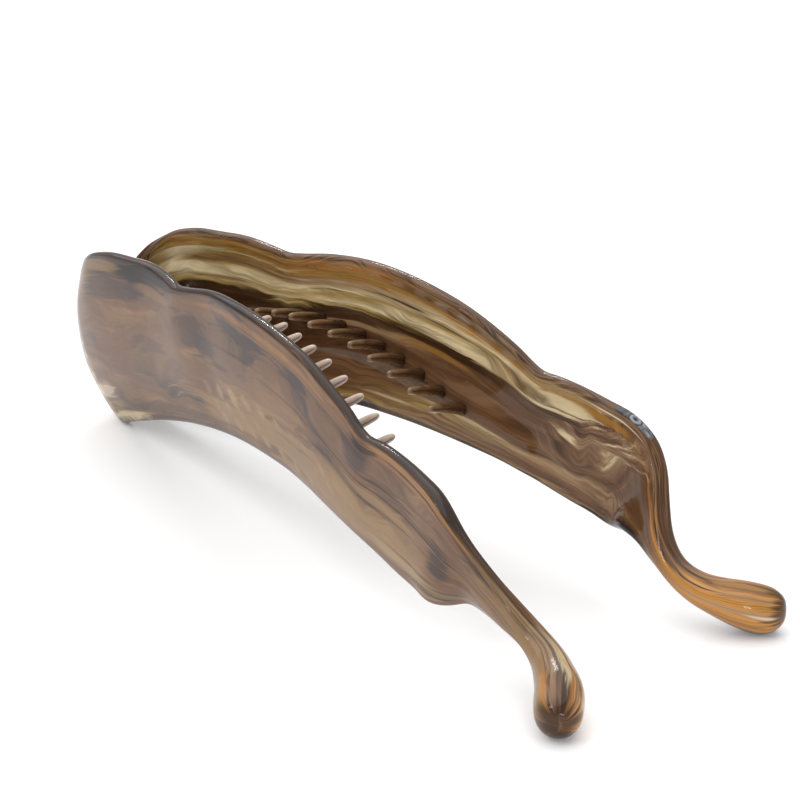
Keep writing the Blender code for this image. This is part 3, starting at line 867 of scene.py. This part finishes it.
def makeTeeth(name, body, side, lastTip, material, settings):
    _, _, middle, _, _ = armSurfaces(armSettings)
    wallPoints = middle.reshape(-1, 3)
    line = np.array(tipLine)
    mesh = bmesh.new()
    reachLayer = mesh.verts.layers.float.new("reach")
    grooveShadeLayer = mesh.verts.layers.float.new("groove")
    last = len(toothRings) - 1
    lean, lift, out = settings["lean"], settings["rise"], settings["reach"]
    for number in range(settings["count"]):
        tipX = lastTip - number * settings["pitch"]
        tipZ = smoothRows(line[:, 0], line[:, 1:], np.array([tipX]))[0, 0]
        rootX, rootZ = tipX - lean, tipZ - lift
        near = np.argsort(np.hypot(wallPoints[:, 0] + middleX - rootX, wallPoints[:, 2] - rootZ))[:4]
        rootY = wallPoints[near, 1].mean()
        share = (settings["shorterBefore"] - tipX) / settings["shorteningLength"]
        short = min(max(share, 0), 1) * settings["shortening"]
        root = Vector((rootX, rootY, rootZ))
        tip = Vector((tipX, rootY - out + short, tipZ))
        bend, climb = settings["knee"]
        knee = root + Vector((bend * lean, -bend * out, climb * lift))

        def middleLine(t):
            point = root * (1 - t) ** 2 + knee * 2 * t * (1 - t) + tip * t**2
            return Vector((point.x - middleX, side * point.y, point.z))

        def place(i, j):
            t, radius = toothRings[j]
            ahead = (middleLine(t + 0.02) - middleLine(t - 0.02)).normalized()
            sideways = ahead.cross(Vector((0, 0, 1))).normalized()
            upwards = sideways.cross(ahead)
            angle = 2 * math.pi * (i % settings["sides"]) / settings["sides"]
            groove = math.exp(-((math.sin(angle) / settings["grooveWidth"]) ** 2))
            radius *= 1 - settings["grooveDepth"] * groove
            return (middleLine(t) + (sideways * math.cos(angle) + upwards * math.sin(angle)) * radius) * mm

        for (i, j), vertex in bentGrid(mesh, settings["sides"], last, place).items():
            angle = 2 * math.pi * i / settings["sides"]
            shade = math.exp(-((math.sin(angle) / settings["grooveShade"]) ** 2))
            vertex[reachLayer] = toothRings[j][0]
            vertex[grooveShadeLayer] = shade if j < last - 1 else 0
    return finishPiece(mesh, name, material, body, 1)


# the same plastic twice: painted light on the front teeth, where light passes through them, and painted shade
# on the rear teeth, which lie in shade
frontToothLit = toothMaterial("toothPlasticFrontLit", paint(60, 42, 33), paint(152, 127, 110), paint(206, 186, 170))
rearToothShaded = toothMaterial("toothPlasticRearShaded", paint(52, 33, 20), paint(92, 65, 42), paint(136, 106, 76))
makeTeeth("frontTeeth", "front", -1, toothSettings["lastTip"], frontToothLit, toothSettings)
rearLast = toothSettings["lastTip"] - toothSettings["pitch"] / 2
makeTeeth("rearTeeth", "rear", 1, rearLast, rearToothShaded, toothSettings)
print("teeth made")


# hinge: a knuckle of the rear arm between two of the front arm, on a steel pin
hingeSettings = {
    "x": -1.0,  # mm, as in all that follows but the last
    "bore": 1.0,
    "barrel": 2.4,
    "chamfer": 0.25,
    "lug": 3.0,
    "lugEdge": 0.2,
    "overlap": 0.7,  # of lug and barrel
    "frontKnuckles": ((8.0, 13.0), (20.0, 25.0)),  # from and to in height
    "rearKnuckles": ((13.3, 19.7),),
    "wallSections": 24,  # sections of the arm among which the lug finds its wall
}


def makeKnuckles(name, body, side, spans, material, settings):
    _, _, middle, _, _ = armSurfaces(armSettings)
    wallPoints = middle[:settings["wallSections"]].reshape(-1, 3)
    mesh = bmesh.new()
    centre = Vector((settings["x"] - middleX, 0, 0)) * mm
    cut, bore, barrel = settings["chamfer"], settings["bore"], settings["barrel"]
    for low, high in spans:
        corners = [
            (bore, low + cut), (bore + cut, low), (barrel - cut, low), (barrel, low + cut),
            (barrel, high - cut), (barrel - cut, high), (bore + cut, high), (bore, high - cut),
        ]
        verts = [mesh.verts.new(centre + Vector((radius, 0, z)) * mm) for radius, z in corners]
        edges = [mesh.edges.new((verts[k - 1], verts[k])) for k in range(len(verts))]
        turn = {"angle": 2 * math.pi, "steps": 48, "use_merge": True}
        bmesh.ops.spin(mesh, geom=verts + edges, cent=centre, axis=(0, 0, 1), **turn)
        half = (low + high) / 2
        distance = np.hypot(wallPoints[:, 0] + middleX - settings["x"], wallPoints[:, 2] - half)
        reach = wallPoints[np.argsort(distance)[:4], 1].mean()
        start = barrel - settings["overlap"]
        lug = bmesh.ops.create_cube(mesh, size=1)["verts"]
        bmesh.ops.scale(mesh, verts=lug, vec=Vector((settings["lug"], reach - start, high - low)) * mm)
        bmesh.ops.translate(mesh, verts=lug, vec=centre + Vector((0, side * (reach + start) / 2, half)) * mm)
        lugEdges = list({edge for vertex in lug for edge in vertex.link_edges})
        rounding = {"segments": 2, "profile": 0.5, "affect": "EDGES", "material": -1}
        bmesh.ops.bevel(mesh, geom=lugEdges, offset=settings["lugEdge"] * mm, **rounding)
    piece = finishPiece(mesh, name, material, body)
    piece.data.set_sharp_from_angle(angle=math.radians(35))
    return piece


def hingePlasticMaterial():
    material, tree = startMaterial("hingePlastic")
    shader = tree.nodes["Principled BSDF"]
    grain = noise(tree, stretchedPlace(tree, (260, 260, 90)), 5, 0.6, 0.8)
    colour = ramp(tree, grain, [
        (0.3, paint(52, 36, 24)), (0.5, paint(104, 76, 50)), (0.7, paint(150, 122, 86)),
    ])
    tree.links.new(colour, shader.inputs["Base Color"])
    tree.links.new(rise(tree, grain, 0.3, 0.7, 0.16, 0.26), shader.inputs["Roughness"])
    tree.links.new(bump(tree, grain, 0.1, 0.0003), shader.inputs["Normal"])
    return material


def pinMaterial():
    material, tree = startMaterial("hingeSteel")
    shader = tree.nodes["Principled BSDF"]
    scratch = noise(tree, stretchedPlace(tree, (300, 300, 2600)), 4, 0.6)
    colour = ramp(tree, scratch, [(0.3, paint(150, 150, 152)), (0.7, paint(206, 206, 208))])
    tree.links.new(colour, shader.inputs["Base Color"])
    tree.links.new(rise(tree, scratch, 0.3, 0.7, 0.22, 0.4), shader.inputs["Roughness"])
    tree.links.new(bump(tree, scratch, 0.08, 0.0002), shader.inputs["Normal"])
    shader.inputs["Metallic"].default_value = 1.0
    return material


hingePlastic = hingePlasticMaterial()
makeKnuckles("frontKnuckles", "front", -1, hingeSettings["frontKnuckles"], hingePlastic, hingeSettings)
makeKnuckles("rearKnuckle", "rear", 1, hingeSettings["rearKnuckles"], hingePlastic, hingeSettings)
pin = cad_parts["hinge_pin"]
pin.data.materials.clear()
pin.data.materials.append(pinMaterial())
print("hinge made")


# floor and studio light
stageSettings = {
    "floorSize": 3.0,
    "floorColour": (0.95, 0.95, 0.955, 1),
    "floorGlow": 0.11,  # keeps the shadows as pale as the photo's
    "world": 0.6,
    "sun": {"strength": 2.0, "angle": 90, "from": (-0.35, 0.05, 0.9)},
    "panelPlaces": {  # grids of small lamps, which the polished plastic shows as rows of dots
        "camera": (0.73, -0.46, 0.19),
        "left": (-0.10, -0.67, 0.59),
        "behind": (-0.52, 0.46, 0.57),
    },
    "panel": {"step": 0.045, "rows": 3, "columns": 4, "size": 0.015, "watts": 0.055},
}


def addLight(name, kind, place, energy, size=None):
    light = bpy.data.lights.new(name, kind)
    light.energy = energy
    if size:
        light.size = size
    lamp = bpy.data.objects.new(name, light)
    lamp.location = place
    lamp.rotation_mode = "QUATERNION"
    lamp.rotation_quaternion = Vector(place).to_track_quat("Z", "Y")
    bpy.context.scene.collection.objects.link(lamp)
    return light


def addPanel(name, middle, settings):
    right = Vector((0, 0, 1)).cross(middle).normalized()
    up = middle.normalized().cross(right)
    for row in range(settings["rows"]):
        for column in range(settings["columns"]):
            x = (column - (settings["columns"] - 1) / 2) * settings["step"]
            y = (row - (settings["rows"] - 1) / 2) * settings["step"]
            place = middle + right * x + up * y
            addLight(f"{name}Lamp{row}{column}", "AREA", place, settings["watts"], settings["size"])


def makeStage(settings):
    mesh = bmesh.new()
    bmesh.ops.create_grid(mesh, x_segments=2, y_segments=2, size=settings["floorSize"])
    data = bpy.data.meshes.new("floor")
    mesh.to_mesh(data)
    mesh.free()
    floor = bpy.data.objects.new("floor", data)
    bpy.context.scene.collection.objects.link(floor)
    material, tree = startMaterial("paleFloor")
    shader = tree.nodes["Principled BSDF"]
    shader.inputs["Base Color"].default_value = settings["floorColour"]
    shader.inputs["Roughness"].default_value = 0.8
    shader.inputs["Specular IOR Level"].default_value = 0.1
    shader.inputs["Emission Color"].default_value = (1, 1, 1, 1)
    shader.inputs["Emission Strength"].default_value = settings["floorGlow"]
    data.materials.append(material)
    world = bpy.data.worlds.new("studio")
    world.use_nodes = True
    background = world.node_tree.nodes["Background"]
    background.inputs["Color"].default_value = (1, 1, 1, 1)
    background.inputs["Strength"].default_value = settings["world"]
    bpy.context.scene.world = world
    bpy.context.scene.view_settings.view_transform = "Standard"
    sun = addLight("topLight", "SUN", settings["sun"]["from"], settings["sun"]["strength"])
    sun.angle = math.radians(settings["sun"]["angle"])
    for name, place in settings["panelPlaces"].items():
        addPanel(name, Vector(place), settings["panel"])


makeStage(stageSettings)
print("stage made")
